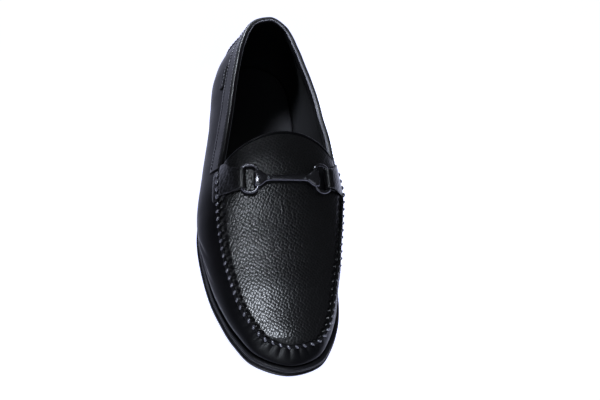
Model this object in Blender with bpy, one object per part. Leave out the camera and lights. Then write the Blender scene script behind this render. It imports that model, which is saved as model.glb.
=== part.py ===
"""Bit loafer for a right foot: a moccasin upper on a stepped rubber sole, with a bar and two rings across it.

Sizes are in millimetres and become metres where a mesh is made. The toe points to -Y, the medial (big toe)
side to +X and the floor is z = 0. A station is the distance from the back of the heel towards the toe.
"""

import bmesh
import bpy
import numpy as np

MM = 0.001
GAP = 0.3

# Driving sizes of the shoe
LENGTH = 286.0
TOE_OFFSET = 4.5
SIDE_SHIFT = -2.03
THROAT_STATION_LATERAL = 147.0
THROAT_STATION_MEDIAL = 139.0
WALL = 2.0
FOOT_INSET = 5.6
FOOT_SHARE = 0.1
HANDLE = 0.36
WELT_THICK = 3.2
WELT_EDGE = 0.9
INSOLE_THICK = 3.0
INSOLE_INSET = FOOT_INSET + WALL + 0.6
HEEL_BREAST = 70.0

# Plan of the sole's edge: how far it stands from the long axis on each side
OUTLINE_COLUMNS = ("station", "lateral", "medial")
OUTLINE = (
    (9.0, 21.0, 22.0),
    (26.0, 31.5, 31.5),
    (55.0, 36.5, 35.0),
    (95.0, 40.0, 35.5),
    (135.0, 45.0, 38.5),
    (175.0, 49.5, 45.0),
    (210.0, 45.5, 51.0),
    (238.0, 38.0, 48.4),
    (260.0, 29.0, 40.2),
    (277.0, 18.0, 28.2),
)

# Heights of the outsole: its underside, then the seat that carries the upper
SOLE_COLUMNS = ("station", "underside", "seat")
SOLE = (
    (0.0, 12.0, 20.5),
    (70.0, 11.0, 19.5),
    (118.0, 5.0, 14.5),
    (165.0, 0.6, 10.0),
    (182.0, 0.0, 9.5),
    (216.0, 0.0, 9.5),
    (245.0, 3.0, 12.0),
    (270.0, 8.5, 17.0),
    (286.0, 14.0, 21.5),
)

# The outsole's side from the underside up: inset from the plan, and share of the thickness
SOLE_SIDE = ((8.0, 0.0), (4.2, 0.1), (1.8, 0.32), (0.5, 0.56), (0.3, 0.74), (1.7, 0.8), (1.7, 0.9), (1.1, 1.0))
HEEL_SIDE = ((4.6, 0.0), (3.0, 0.1), (2.2, 0.9), (2.6, 1.0))

# The wall of the upper: inset and height of its top edge on each side, how far it swells low and high,
# and how much fuller the lateral and the medial side are
WALL_COLUMNS = ("station", "lateral", "medial", "height", "swell", "lean", "outer_bulge", "inner_bulge")
WALL_TABLE = (
    (0.0, 12.6, 12.6, 82.0, 8.0, 2.0, 0.0, 0.0),
    (10.0, 11.4, 15.3, 80.7, 8.0, 2.2, 1.1, 0.0),
    (25.0, 11.5, 14.7, 78.5, 8.0, 2.5, 3.0, 0.0),
    (42.0, 10.5, 11.5, 75.0, 7.6, 2.8, 6.4, 0.0),
    (60.0, 9.5, 6.5, 71.0, 7.0, 3.0, 8.5, 0.0),
    (95.0, 7.5, -0.9, 65.5, 6.0, 3.0, 8.5, 0.0),
    (125.0, 6.5, -3.9, 61.5, 6.0, 4.0, 8.3, 0.0),
    (152.0, 5.5, -4.0, 58.0, 7.0, 5.5, 6.7, 0.0),
    (175.0, 7.0, -0.6, 52.0, 7.5, 7.5, 6.0, -0.6),
    (205.0, 7.0, 8.0, 44.5, 7.5, 9.0, 3.9, -3.0),
    (235.0, 7.0, 11.3, 38.5, 7.0, 9.0, 2.4, -5.1),
    (262.0, 9.0, 9.4, 34.0, 6.0, 9.0, 0.9, -4.3),
    (286.0, 14.5, 14.5, 32.5, 5.5, 9.0, 0.0, 0.0),
)

# The apron by row, from the tongue's edge (0) to the toe (1): its crown, and how far a row bows to the heel
APRON_COLUMNS = ("row", "crown", "reach", "roundness")
APRON = (
    (0.0, 22.5, 16.0, 0.7),
    (0.15, 17.5, 10.5, 0.75),
    (0.35, 10.5, 6.0, 0.85),
    (0.6, 7.0, 1.5, 1.0),
    (0.8, 4.0, 0.0, 1.0),
    (0.95, 1.2, 0.0, 1.0),
    (1.0, 0.0, 0.0, 1.0),
)

# Resolution of the faceted solids
FRONT_ROWS = 28
BACK_STEPS = 48
WALL_ROWS = 7
ACROSS = 10
SOLE_STEPS = 66

# Hand-sewn seam round the apron: one bead for each stitch
BEADS = 56
BEAD_PEAK = 2.7
BEAD_VALLEY = 1.5
BEAD_FOOT = 2.4

# Collar binding, heel counter and side tab
BINDING = 1.2
BINDING_OUTSIDE = 10.5
BINDING_INSIDE = 7.0
SLAB_LIFT = 0.8
COUNTER_THICK = 1.0
COUNTER_COLUMNS = ("share", "half_width")
COUNTER = ((0.0, 46.0), (0.4, 45.0), (0.65, 40.0), (0.85, 27.0), (1.0, 12.0))
TAB_STATION = 49.0
TAB_LENGTH = 22.0
TAB_WIDTH = 5.5
TAB_THICK = 1.8

# Bit: two rings, a bar between them, and a folded strap that holds each ring
STRAP_ROW = 0.07
RING_ROW = 0.138
RING_ACROSS = 0.165
BAR_ROW = 0.17
BAR_HALF = 18.0
RING_HALF_WIDTH = 5.45
RING_HALF_LENGTH = 9.7
RING_CORNER = 3.8
RING_WIRE = 1.3
RING_LIFT = 4.0
STRAP_THICK = 1.4
STRAP_BASE = 21.5
STRAP_TOP = 13.5
STRAP_START = 4.5
STRAP_TUCK = 6.0
BAR_RADIUS = 2.3
BAR_LIFT = 3.4
BAR_BOW = 0.8
FLARE_HALF_WIDTH = 6.2
FLARE_HALF_THICK = 2.9
FLARE_LENGTH = 7.5

BLACK_LEATHER = (0.012, 0.012, 0.014)
BLACK_GRAIN = (0.016, 0.016, 0.018)
BLACK_RUBBER = (0.014, 0.014, 0.018)
BLACK_LINING = (0.006, 0.006, 0.007)
GUNMETAL = (0.10, 0.10, 0.10)


def through(stations, values, at):
    """Values at the given stations, on a smooth curve through the rows that never overshoots them."""
    x, y = np.asarray(stations, float), np.asarray(values, float)
    step = np.diff(x)
    rise = np.diff(y) / step
    slope = np.zeros_like(y)
    slope[0], slope[-1] = rise[0], rise[-1]
    before, after = rise[:-1], rise[1:]
    same = before * after > 0
    slope[1:-1][same] = 2 * (before * after)[same] / (before + after)[same]
    at = np.clip(np.asarray(at, float), x[0], x[-1])
    k = np.clip(np.searchsorted(x, at, side="right") - 1, 0, len(x) - 2)
    t = (at - x[k]) / step[k]
    start, end = y[k] + t * step[k] * slope[k], y[k + 1] - (1 - t) * step[k] * slope[k + 1]
    ease = t * t * (3 - 2 * t)
    return start * (1 - ease) + end * ease


def column(table, columns, name, at):
    """One named column of a table, read at the given places of its first column."""
    rows = np.array(table)
    return through(rows[:, 0], rows[:, columns.index(name)], at)


def smooth_loop(points, steps=40):
    """A closed curve through the points, round by centripetal tangents."""
    p = np.asarray(points, float)
    before, after, beyond = np.roll(p, 1, 0), np.roll(p, -1, 0), np.roll(p, -2, 0)
    chord = np.sqrt(np.linalg.norm(after - p, axis=1))[:, None]
    last, following = np.roll(chord, 1, 0), np.roll(chord, -1, 0)
    leave = ((after - p) / chord - (after - before) / (last + chord) + (p - before) / last) * chord
    arrive = (beyond - after) / following - (beyond - p) / (chord + following) + (after - p) / chord
    arrive *= chord
    t = np.linspace(0, 1, steps, endpoint=False)[None, :, None]
    curve = (
        (2 * t**3 - 3 * t**2 + 1) * p[:, None]
        + (t**3 - 2 * t**2 + t) * leave[:, None]
        + (3 * t**2 - 2 * t**3) * after[:, None]
        + (t**3 - t**2) * arrive[:, None]
    )
    return curve.reshape(-1, 2)


def sole_plan():
    """The sole's edge from the heel round the lateral side to the toe and back: arc lengths, points, inward."""
    rows = np.array(OUTLINE)
    lateral = np.stack([-rows[:, 1], LENGTH / 2 - rows[:, 0]], 1)
    medial = np.stack([rows[:, 2], LENGTH / 2 - rows[:, 0]], 1)[::-1]
    heel, toe = [(0.0, LENGTH / 2)], [(TOE_OFFSET, -LENGTH / 2)]
    curve = smooth_loop(np.concatenate([heel, lateral, toe, medial]))
    curve[:, 0] -= (curve[:, 0].min() + curve[:, 0].max()) / 2 + SIDE_SHIFT
    tangent = np.roll(curve, -1, 0) - np.roll(curve, 1, 0)
    tangent /= np.linalg.norm(tangent, axis=1)[:, None]
    inward = np.stack([-tangent[:, 1], tangent[:, 0]], 1)
    closed = np.concatenate([curve, curve[:1]])
    arc = np.concatenate([[0.0], np.cumsum(np.linalg.norm(np.diff(closed, axis=0), axis=1))])
    return arc, closed, np.concatenate([inward, inward[:1]])


PLAN_ARC, PLAN_POINTS, PLAN_INWARD = sole_plan()
AROUND = PLAN_ARC[-1]
TIP = PLAN_ARC[PLAN_POINTS[:, 1].argmin()]
def plan(arc):
    """Points of the sole's edge and their inward directions at the given arc lengths."""
    arc = np.mod(arc, AROUND)
    point = np.stack([np.interp(arc, PLAN_ARC, PLAN_POINTS[:, d]) for d in (0, 1)], -1)
    inward = np.stack([np.interp(arc, PLAN_ARC, PLAN_INWARD[:, d]) for d in (0, 1)], -1)
    return point, inward / np.linalg.norm(inward, axis=-1, keepdims=True)


def station(point):
    return LENGTH / 2 - point[..., 1]


THROAT_LATERAL = PLAN_ARC[np.flatnonzero(station(PLAN_POINTS) > THROAT_STATION_LATERAL)[0]]
THROAT_MEDIAL = PLAN_ARC[np.flatnonzero(station(PLAN_POINTS) > THROAT_STATION_MEDIAL)[-1]]


def on_sole(arc, inset, share, lift=0.0):
    """Points above the plan, inset from its edge, at a share of the outsole's thickness."""
    point, inward = plan(arc)
    at = station(point)
    underside = np.maximum(column(SOLE, SOLE_COLUMNS, "underside", at), 0.0)
    seat = column(SOLE, SOLE_COLUMNS, "seat", at)
    flat = point + inward * np.asarray(inset)[..., None]
    return np.concatenate([flat, (underside + (seat - underside) * share + lift)[..., None]], -1)


def wall(arc, rise):
    """Outer face of the upper's wall: rise runs from 0 at the seat to 1 at the collar or the apron's seam."""
    arc, rise = np.broadcast_arrays(np.asarray(arc, float), np.asarray(rise, float))
    point, inward = plan(arc)
    at = station(point)
    seat = column(SOLE, SOLE_COLUMNS, "seat", at)
    lateral = np.mod(arc, AROUND) < TIP
    names = WALL_COLUMNS[1:]
    outer, inner, height, swell, lean, out_full, in_full = (column(WALL_TABLE, WALL_COLUMNS, n, at) for n in names)
    side, fuller = np.where(lateral, outer, inner), np.where(lateral, out_full, in_full)
    foot = seat + WELT_THICK + 2 * GAP
    reach = HANDLE * (height - foot)
    t = np.clip((rise - FOOT_SHARE) / (1 - FOOT_SHARE), 0, 1)
    a, b, c, d = (1 - t) ** 3, 3 * t * (1 - t) ** 2, 3 * t**2 * (1 - t), t**3
    inset = a * FOOT_INSET + b * (FOOT_INSET - swell - fuller) + c * (side - lean - fuller) + d * side
    z = a * foot + b * (foot + reach) + c * (height - reach) + d * height
    z = np.where(rise < FOOT_SHARE, seat + GAP + (foot - seat - GAP) * rise / FOOT_SHARE, z)
    return np.concatenate([point + inward * inset[..., None], z[..., None]], -1)


def seam_arcs(row):
    """Arc lengths of a row's two ends on the apron's seam."""
    row = np.asarray(row, float)
    return THROAT_LATERAL + row * (TIP - THROAT_LATERAL), THROAT_MEDIAL - row * (THROAT_MEDIAL - TIP)


def back_arcs():
    """Even arc lengths of the collar, from the medial side of the throat round the heel to the lateral side."""
    return np.linspace(THROAT_MEDIAL, AROUND + THROAT_LATERAL, BACK_STEPS + 1)[1:-1]


def apron(row, across):
    """Outer face of the apron and its tongue: across runs from 0 at the lateral seam to 1 at the medial one."""
    row, across = np.broadcast_arrays(np.asarray(row, float), np.asarray(across, float))
    lateral, medial = seam_arcs(row)
    hump = np.clip(1 - (2 * across - 1) ** 2, 0, 1)
    crown, reach, roundness = (column(APRON, APRON_COLUMNS, name, row) for name in APRON_COLUMNS[1:])
    point = wall(lateral, 1.0) * (1 - across)[..., None] + wall(medial, 1.0) * across[..., None]
    bow = np.stack([np.zeros_like(hump), reach * hump**0.8, crown * hump**roundness], -1)
    return point + bow


def face_frame(face, first, second, steps):
    """The two tangents and the outward normal of a face at one place."""
    near = [face(first + a * steps[0], second + b * steps[1]) for a, b in ((-1, 0), (1, 0), (0, -1), (0, 1))]
    along, over = near[1] - near[0], near[3] - near[2]
    along = along / np.linalg.norm(along, axis=-1, keepdims=True)
    over = over / np.linalg.norm(over, axis=-1, keepdims=True)
    normal = np.cross(along, over)
    return along, over, normal / np.linalg.norm(normal, axis=-1, keepdims=True)


def wall_frame(arc, rise):
    """Point of the wall with its tangents and normal, which are taken just inside its edges."""
    return wall(arc, rise), *face_frame(wall, arc, np.clip(rise, FOOT_SHARE + 0.01, 0.99), (0.5, 0.01))


def apron_frame(row, across):
    """Point of the apron with its tangents and normal, which are taken just inside its edges."""
    inside = np.clip(row, 0.004, 0.99), np.clip(across, 0.012, 0.988)
    return apron(row, across), *face_frame(apron, *inside, (0.004, 0.01))


def rise_below(arc, distance):
    """The rise at a distance below the wall's top edge, measured down the wall."""
    rises = np.linspace(1, FOOT_SHARE, 60)
    line = wall(np.full(60, arc), rises)
    run = np.concatenate([[0.0], np.cumsum(np.linalg.norm(np.diff(line, axis=0), axis=1))])
    return np.interp(distance, run, rises)


def across_at(row, distance, from_medial):
    """The across value at a distance from one seam, measured over the apron."""
    shares = np.linspace(1, 0, 80) if from_medial else np.linspace(0, 1, 80)
    line = apron(np.full(80, row), shares)
    run = np.concatenate([[0.0], np.cumsum(np.linalg.norm(np.diff(line, axis=0), axis=1))])
    return np.interp(distance, run, shares)


def material(name, colour, roughness, metallic=0.0):
    made = bpy.data.materials.new(name)
    made.use_nodes = True
    shader = made.node_tree.nodes["Principled BSDF"]
    shader.inputs["Base Color"].default_value = (*colour, 1.0)
    shader.inputs["Roughness"].default_value = roughness
    shader.inputs["Metallic"].default_value = metallic
    return made


def finish_object(name, bm, look):
    """Turns a bmesh in millimetres into a smooth shaded object in metres."""
    bmesh.ops.scale(bm, vec=(MM, MM, MM), verts=bm.verts)
    mesh = bpy.data.meshes.new(name)
    bm.to_mesh(mesh)
    bm.free()
    mesh.materials.append(look)
    mesh.shade_smooth()
    mesh.set_sharp_from_angle(angle=np.radians(40))
    made = bpy.data.objects.new(name, mesh)
    bpy.context.scene.collection.objects.link(made)
    return made


def close_ring(bm, ring):
    """Closes a ring of vertices with faces between its two sides."""
    count = len(ring)
    for k in range(count // 2 - 1):
        bm.faces.new((ring[k], ring[k + 1], ring[count - 2 - k], ring[count - 1 - k]))
    if count % 2:
        middle = count // 2
        bm.faces.new((ring[middle - 1], ring[middle], ring[middle + 1]))


def skin(name, sections, look, looped=False):
    """A solid skinned over a row of closed sections, capped at both ends unless the row is a loop."""
    bm = bmesh.new()
    rings = [[bm.verts.new(p) for p in section] for section in sections]
    for k in range(len(rings) - (0 if looped else 1)):
        ring, after = rings[k], rings[(k + 1) % len(rings)]
        for j in range(len(ring)):
            nxt = (j + 1) % len(ring)
            bm.faces.new((ring[j], ring[nxt], after[nxt], after[j]))
    if not looped:
        close_ring(bm, rings[0])
        close_ring(bm, rings[-1])
    bmesh.ops.recalc_face_normals(bm, faces=bm.faces)
    return finish_object(name, bm, look)


def sole_arcs(count=SOLE_STEPS):
    """Even arc lengths round the plan, half a step off the middle of the heel."""
    return (np.arange(count) + 0.5) * AROUND / count


def build_outsole(look):
    arcs = sole_arcs()
    skin("outsole", [on_sole(arcs, np.full(len(arcs), inset), share) for inset, share in SOLE_SIDE], look)


def build_heel(look):
    """Block under the back of the outsole, cut off straight at the breast."""
    point, _ = plan(sole_arcs(4 * SOLE_STEPS))
    arcs = sole_arcs(4 * SOLE_STEPS)[station(point) < HEEL_BREAST]
    lateral, medial = arcs[arcs < AROUND / 2][-1], arcs[arcs > AROUND / 2][0]
    spread = np.concatenate([np.linspace(0, lateral, 19)[1:], np.linspace(medial, AROUND, 19)[:-1]])
    sections = []
    for inset, share in HEEL_SIDE:
        ring = on_sole(spread, np.full(len(spread), inset), 0.0, -GAP)
        ring[:, 2] *= share
        sections.append(ring)
    skin("heel", sections, look)


def build_welt(look):
    """Strip round the foot of the upper, with a rounded outer edge, on the rim of the outsole."""
    inner = FOOT_INSET - 2 * GAP
    low, high = GAP, GAP + WELT_THICK
    middle = (low + high) / 2
    profile = (
        (inner, low), (WELT_EDGE + 0.6, low), (WELT_EDGE, middle - 0.6), (WELT_EDGE, middle + 0.6),
        (WELT_EDGE + 0.7, high), (inner, high - 0.3),
    )
    sections = []
    for arc in sole_arcs():
        inset, lift = np.array(profile).T
        sections.append(on_sole(np.full(len(profile), arc), inset, 1.0, lift))
    skin("welt", sections, look, looped=True)


def build_insole(look):
    arcs = sole_arcs()
    levels = ((INSOLE_INSET, GAP), (INSOLE_INSET, INSOLE_THICK - 0.6), (INSOLE_INSET + 0.8, INSOLE_THICK))
    skin("insole", [on_sole(arcs, np.full(len(arcs), inset), 1.0, lift) for inset, lift in levels], look)


def build_upper(look):
    """Wall and apron as one sheet, then given its thickness inwards."""
    bm = bmesh.new()
    rows = np.arange(FRONT_ROWS + 1) / FRONT_ROWS
    lateral, medial = seam_arcs(rows)
    arcs = np.concatenate([lateral, medial[-2::-1], back_arcs()])
    turned = (np.arange(WALL_ROWS + 1) / WALL_ROWS)
    rises = np.concatenate([[0.0], FOOT_SHARE + (1 - FOOT_SHARE) * turned])
    grid = [[bm.verts.new(p) for p in wall(arcs, np.full(len(arcs), rise))] for rise in rises]
    for low, high in zip(grid, grid[1:]):
        for j in range(len(arcs)):
            nxt = (j + 1) % len(arcs)
            bm.faces.new((low[j], low[nxt], high[nxt], high[j]))
    seam = grid[-1]
    inner = np.arange(1, ACROSS) / ACROSS
    lines = []
    for k, row in enumerate(rows[:-1]):
        middle = [bm.verts.new(p) for p in apron(np.full(ACROSS - 1, row), inner)]
        lines.append([seam[k], *middle, seam[2 * FRONT_ROWS - k]])
    for line, after in zip(lines, lines[1:]):
        for j in range(ACROSS):
            bm.faces.new((line[j], after[j], after[j + 1], line[j + 1]))
    toe = seam[FRONT_ROWS]
    for j in range(ACROSS):
        bm.faces.new((lines[-1][j], toe, lines[-1][j + 1]))
    made = finish_object("upper", bm, look)
    thick = made.modifiers.new("Wall", "SOLIDIFY")
    thick.thickness = WALL * MM
    thick.offset = -1.0
    thick.use_even_offset = True
    thick.use_quality_normals = True


def build_apron_seam(look):
    """Beaded roll on the seam between wall and apron, a peak at each stitch."""
    count = 2 * BEADS + 1
    rows = np.abs(np.linspace(-1, 1, count))
    lateral, medial = seam_arcs(1 - rows)
    sections = []
    for k in range(1, count - 1):
        on_medial = k > BEADS
        arc = medial[k] if on_medial else lateral[k]
        peak = BEAD_PEAK if k % 2 else BEAD_VALLEY
        edge, _, _, out = wall_frame(arc, 1.0)
        below, _, _, side = wall_frame(arc, rise_below(arc, BEAD_FOOT))
        row = min(1 - rows[k], 0.995)
        over, _, _, up = apron_frame(row, across_at(row, BEAD_FOOT, on_medial))
        crest = out + up
        crest /= np.linalg.norm(crest)
        sections.append([
            below + side * GAP,
            below + side * (GAP + 0.6 * peak),
            edge + crest * (GAP + peak),
            over + up * (GAP + 0.6 * peak),
            over + up * GAP,
            edge + crest * 2 * GAP,
        ])
    skin("apron_seam", sections, look)


def build_collar(look):
    """Binding folded over the top edge from one side of the throat round the heel to the other."""
    outer, inner = GAP + BINDING, -(WALL + 2 * GAP + BINDING)
    top = GAP + BINDING
    outside = (
        (BINDING_OUTSIDE, outer), (BINDING_OUTSIDE / 2, outer), (0.5, outer),
        (-0.9 * top, 0.0), (-0.9 * top, -WALL), (0.5, inner), (BINDING_INSIDE, inner),
    )
    inside = (
        (BINDING_OUTSIDE, GAP), (BINDING_OUTSIDE / 2, GAP), (0.5, GAP),
        (-GAP, 0.0), (-GAP, -WALL), (0.5, -WALL - 2 * GAP), (BINDING_INSIDE, -WALL - 2 * GAP),
    )
    sections = []
    for arc in back_arcs():
        section = []
        for drop, out in outside + inside[::-1]:
            edge, _, upward, normal = wall_frame(arc, rise_below(arc, max(drop, 0.0)))
            section.append(edge + normal * out - upward * min(drop, 0.0))
        sections.append(section)
    skin("collar", sections, look)


def slab(name, rows, thick, look):
    """A thin piece that lies on the wall: rows of (arcs, rises), from one edge to the other."""
    sections = []
    for arcs, rises in rows:
        point, _, _, normal = wall_frame(arcs, rises)
        sections.append([*(point + normal * (SLAB_LIFT + thick)), *(point + normal * SLAB_LIFT)[::-1]])
    skin(name, sections, look)


def build_counter(look):
    """Panel round the back of the heel, from the welt up to the collar binding."""
    low = FOOT_SHARE + 0.03
    rows = []
    for share in np.linspace(0, 1, 8):
        half = column(COUNTER, COUNTER_COLUMNS, "half_width", share)
        arcs = AROUND + np.linspace(-half, half, 15)
        high = [rise_below(arc, BINDING_OUTSIDE + 2 * GAP) for arc in arcs]
        rows.append((arcs, low + (np.array(high) - low) * share))
    slab("counter", rows, COUNTER_THICK, look)


def build_side_tab(look):
    """Folded tab sewn in under the binding on the lateral side."""
    point, _ = plan(PLAN_ARC)
    start = PLAN_ARC[np.flatnonzero(station(point) > TAB_STATION)[0]]
    arcs = start + np.linspace(0, TAB_LENGTH, 7)
    rows = []
    for drop in np.linspace(BINDING_OUTSIDE + 2 * GAP, BINDING_OUTSIDE + TAB_WIDTH, 3):
        rows.append((arcs, np.array([rise_below(arc, drop) for arc in arcs])))
    slab("side_tab", rows, TAB_THICK, look)


def ring_frame(from_medial):
    """Centre of a ring's outer bar and its directions: towards the bar, along the shoe, away from the apron."""
    ends = apron(np.full(2, BAR_ROW), np.array((0.3, 0.7)))
    line = (ends[1] - ends[0]) / np.linalg.norm(ends[1] - ends[0])
    crest, _, _, up = apron_frame(BAR_ROW, 0.5)
    aim = crest + up * BAR_LIFT + line * (BAR_HALF if from_medial else -BAR_HALF)
    point, _, _, normal = apron_frame(RING_ROW, 1 - RING_ACROSS if from_medial else RING_ACROSS)
    outer = point + normal * RING_LIFT
    towards = (aim - outer) / np.linalg.norm(aim - outer)
    along = np.cross(normal, towards)
    along /= np.linalg.norm(along)
    return outer, towards, along, np.cross(towards, along)


def ring_line():
    """Centreline of a ring from the middle of its outer bar, as distances inwards and along."""
    corners = []
    for quarter, (x, y) in enumerate(((1, -1), (1, 1), (-1, 1), (-1, -1))):
        turn = np.radians(-90 + 90 * quarter + np.linspace(0, 90, 6))
        centre = np.array((x * (RING_HALF_WIDTH - RING_CORNER), y * (RING_HALF_LENGTH - RING_CORNER)))
        corners.append(centre + RING_CORNER * np.stack([np.cos(turn), np.sin(turn)], 1))
    return np.concatenate(corners) + np.array((RING_HALF_WIDTH, 0.0))


def ring_sections(from_medial, radius):
    origin, towards, along, normal = ring_frame(from_medial)
    line = ring_line()
    centre = np.array((RING_HALF_WIDTH, 0.0))
    sections = []
    for k, (inward, length) in enumerate(line):
        ahead, behind = line[(k + 1) % len(line)], line[k - 1]
        direction = (ahead - behind) / np.linalg.norm(ahead - behind)
        outward = np.array((direction[1], -direction[0]))
        outward *= np.sign(np.dot(outward, line[k] - centre))
        out = outward[0] * towards + outward[1] * along
        middle = origin + inward * towards + length * along
        turns = np.radians(np.arange(8) * 45.0)
        sections.append([middle + radius * (np.cos(a) * out + np.sin(a) * normal) for a in turns])
    return sections


def build_rings(look):
    for from_medial, name in ((False, "ring_lateral"), (True, "ring_medial")):
        skin(name, ring_sections(from_medial, RING_WIRE), look, looped=True)


def build_bar(look):
    """Rod over the apron whose flared ends close round the inner bars of the rings."""
    origin, into, _, near_out = ring_frame(False)
    near = origin + into * 2 * RING_HALF_WIDTH
    origin, from_far, _, far_out = ring_frame(True)
    far = origin + from_far * 2 * RING_HALF_WIDTH
    t = np.linspace(0, 1, 13)[:, None]
    _, _, _, up = apron_frame(BAR_ROW, 0.5)
    path = near * (1 - t) + far * t + up * BAR_BOW * 4 * t * (1 - t)
    path = np.concatenate([[near - into * FLARE_HALF_THICK], path, [far - from_far * FLARE_HALF_THICK]])
    run = np.concatenate([[0.0], np.cumsum(np.linalg.norm(np.diff(path, axis=0), axis=1))])
    from_end = np.minimum(run, run[-1] - run)
    flare = np.clip((from_end - FLARE_HALF_THICK) / FLARE_LENGTH, 0, 1)
    ease = flare * flare * (3 - 2 * flare)
    wide = BAR_RADIUS + (FLARE_HALF_WIDTH - BAR_RADIUS) * (1 - ease)
    thick = BAR_RADIUS + (FLARE_HALF_THICK - BAR_RADIUS) * (1 - ease)
    thick[[0, -1]] *= 0.6
    share = (run / run[-1])[:, None]
    lift = near_out * (1 - share) + far_out * share
    sections = []
    for k in range(len(path)):
        forward = path[min(k + 1, len(path) - 1)] - path[max(k - 1, 0)]
        forward /= np.linalg.norm(forward)
        side = np.cross(lift[k], forward)
        side /= np.linalg.norm(side)
        top = np.cross(forward, side)
        turns = np.radians(np.arange(10) * 36.0 + 18.0)
        sections.append([path[k] + wide[k] * np.cos(a) * side + thick[k] * np.sin(a) * top for a in turns])
    bar = skin("bit_bar", sections, look)
    for from_medial in (False, True):
        cutter = skin("ring_bore_" + str(int(from_medial)), ring_sections(from_medial, RING_WIRE + GAP), look, True)
        cutter.hide_render = True
        cutter.display_type = "WIRE"
        cut = bar.modifiers.new("Bore", "BOOLEAN")
        cut.operation = "DIFFERENCE"
        cut.object = cutter


def strap_profile(length):
    """The strap's path as (distance from its base, height over the apron), out over the ring and back under."""
    turn_radius = RING_WIRE + GAP + STRAP_THICK / 2
    start_height = 0.2 * GAP + STRAP_THICK / 2
    top, bottom = RING_LIFT + turn_radius, RING_LIFT - turn_radius
    t = np.linspace(0, 1, 6)[:-1]
    ease = t * t * (3 - 2 * t)
    out = np.stack([length * t, start_height + (top - start_height) * ease], 1)
    turns = np.radians(np.linspace(90, -90, 7))
    fold = np.stack([length + turn_radius * np.cos(turns), RING_LIFT + turn_radius * np.sin(turns)], 1)
    tuck = np.array([(length - STRAP_TUCK, bottom)])
    path = np.concatenate([out, fold, tuck])
    direction = np.gradient(path, axis=0)
    direction /= np.linalg.norm(direction, axis=1)[:, None]
    side = np.stack([-direction[:, 1], direction[:, 0]], 1) * STRAP_THICK / 2
    return np.concatenate([path + side, (path - side)[::-1]])


def build_straps(look):
    """Tab from the apron's seam that folds round a ring's outer bar."""
    rows_long = TIP - THROAT_LATERAL
    for from_medial, name in ((False, "strap_lateral"), (True, "strap_medial")):
        origin, towards, along, normal = ring_frame(from_medial)
        base = across_at(STRAP_ROW, STRAP_START, from_medial)
        seat = 1 - RING_ACROSS if from_medial else RING_ACROSS
        length = np.linalg.norm(apron(STRAP_ROW, base) - apron(RING_ROW, seat))
        sections = []
        for share in np.linspace(-0.5, 0.5, 5):
            section = []
            for distance, height in strap_profile(length):
                t = np.clip(distance / length, 0, 1)
                ease = t * t * (3 - 2 * t)
                width = share * (STRAP_BASE + (STRAP_TOP - STRAP_BASE) * ease)
                row = STRAP_ROW + (RING_ROW - STRAP_ROW) * t - width / rows_long * np.sign(along[1])
                edge = across_at(row, STRAP_START, from_medial)
                on, _, _, up = apron_frame(row, edge + (seat - base) * t)
                level = (distance - length) * towards + width * along + (height - RING_LIFT) * normal
                to_ring = np.clip(distance / (length - STRAP_TUCK), 0, 1)
                to_ring = to_ring * to_ring * (3 - 2 * to_ring)
                section.append((on + up * height) * (1 - to_ring) + (origin + level) * to_ring)
            sections.append(section)
        skin(name, sections, look)


def main():
    for old in list(bpy.data.objects):
        bpy.data.objects.remove(old)
    smooth = material("smooth_leather", BLACK_LEATHER, 0.42)
    grain = material("pebbled_leather", BLACK_GRAIN, 0.5)
    rubber = material("rubber", BLACK_RUBBER, 0.55)
    lining = material("lining", BLACK_LINING, 0.8)
    metal = material("gunmetal", GUNMETAL, 0.28, 1.0)
    build_outsole(rubber)
    build_heel(rubber)
    build_welt(rubber)
    build_insole(lining)
    build_upper(smooth)
    build_apron_seam(smooth)
    build_collar(smooth)
    build_counter(smooth)
    build_side_tab(smooth)
    build_rings(metal)
    build_bar(metal)
    build_straps(grain)


main()
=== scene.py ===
"""Bit loafer for a right foot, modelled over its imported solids: leather upper, hand-sewn apron, bit and sole.

Shapes are worked out in millimetres. The toe points to -Y, the medial (big toe) side to +X.
The floor is z = 0. A station is the distance from the back of the heel.
An arc is the distance round the sole's edge from there.
"""

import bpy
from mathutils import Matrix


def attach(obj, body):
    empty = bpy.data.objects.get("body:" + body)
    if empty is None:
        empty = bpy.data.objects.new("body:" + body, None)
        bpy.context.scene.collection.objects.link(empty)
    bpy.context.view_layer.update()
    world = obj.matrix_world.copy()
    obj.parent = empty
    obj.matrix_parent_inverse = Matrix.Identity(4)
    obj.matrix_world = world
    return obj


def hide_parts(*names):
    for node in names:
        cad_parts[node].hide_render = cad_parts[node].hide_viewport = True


bl_info = {
    "name": "Bit Loafer",
    "version": (1, 0, 0),
    "blender": (4, 5, 0),
    "location": "3D View > Sidebar > Loafer",
    "description": "Builds a bit loafer with its leather, stitching, sole and studio stage",
    "category": "Add Mesh",
}

from types import SimpleNamespace

import bmesh
import bpy
import numpy as np
from mathutils import Matrix, Vector

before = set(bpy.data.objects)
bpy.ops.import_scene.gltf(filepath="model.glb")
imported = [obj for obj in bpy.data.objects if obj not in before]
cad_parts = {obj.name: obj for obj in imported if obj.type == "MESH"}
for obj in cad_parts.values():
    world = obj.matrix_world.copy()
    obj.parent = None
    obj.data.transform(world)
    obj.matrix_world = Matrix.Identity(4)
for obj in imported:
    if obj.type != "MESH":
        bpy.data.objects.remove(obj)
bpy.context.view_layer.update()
MM = 0.001
GAP = 0.3

# Driving sizes, as in the solids
LENGTH = 286.0
TOE_OFFSET = 4.5
SIDE_SHIFT = -2.03
THROAT_STATION_LATERAL = 147.0
THROAT_STATION_MEDIAL = 139.0
FOOT_INSET = 5.6
FOOT_SHARE = 0.1
HANDLE = 0.36
WELT_THICK = 3.2
HEEL_BREAST = 70.0

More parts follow.
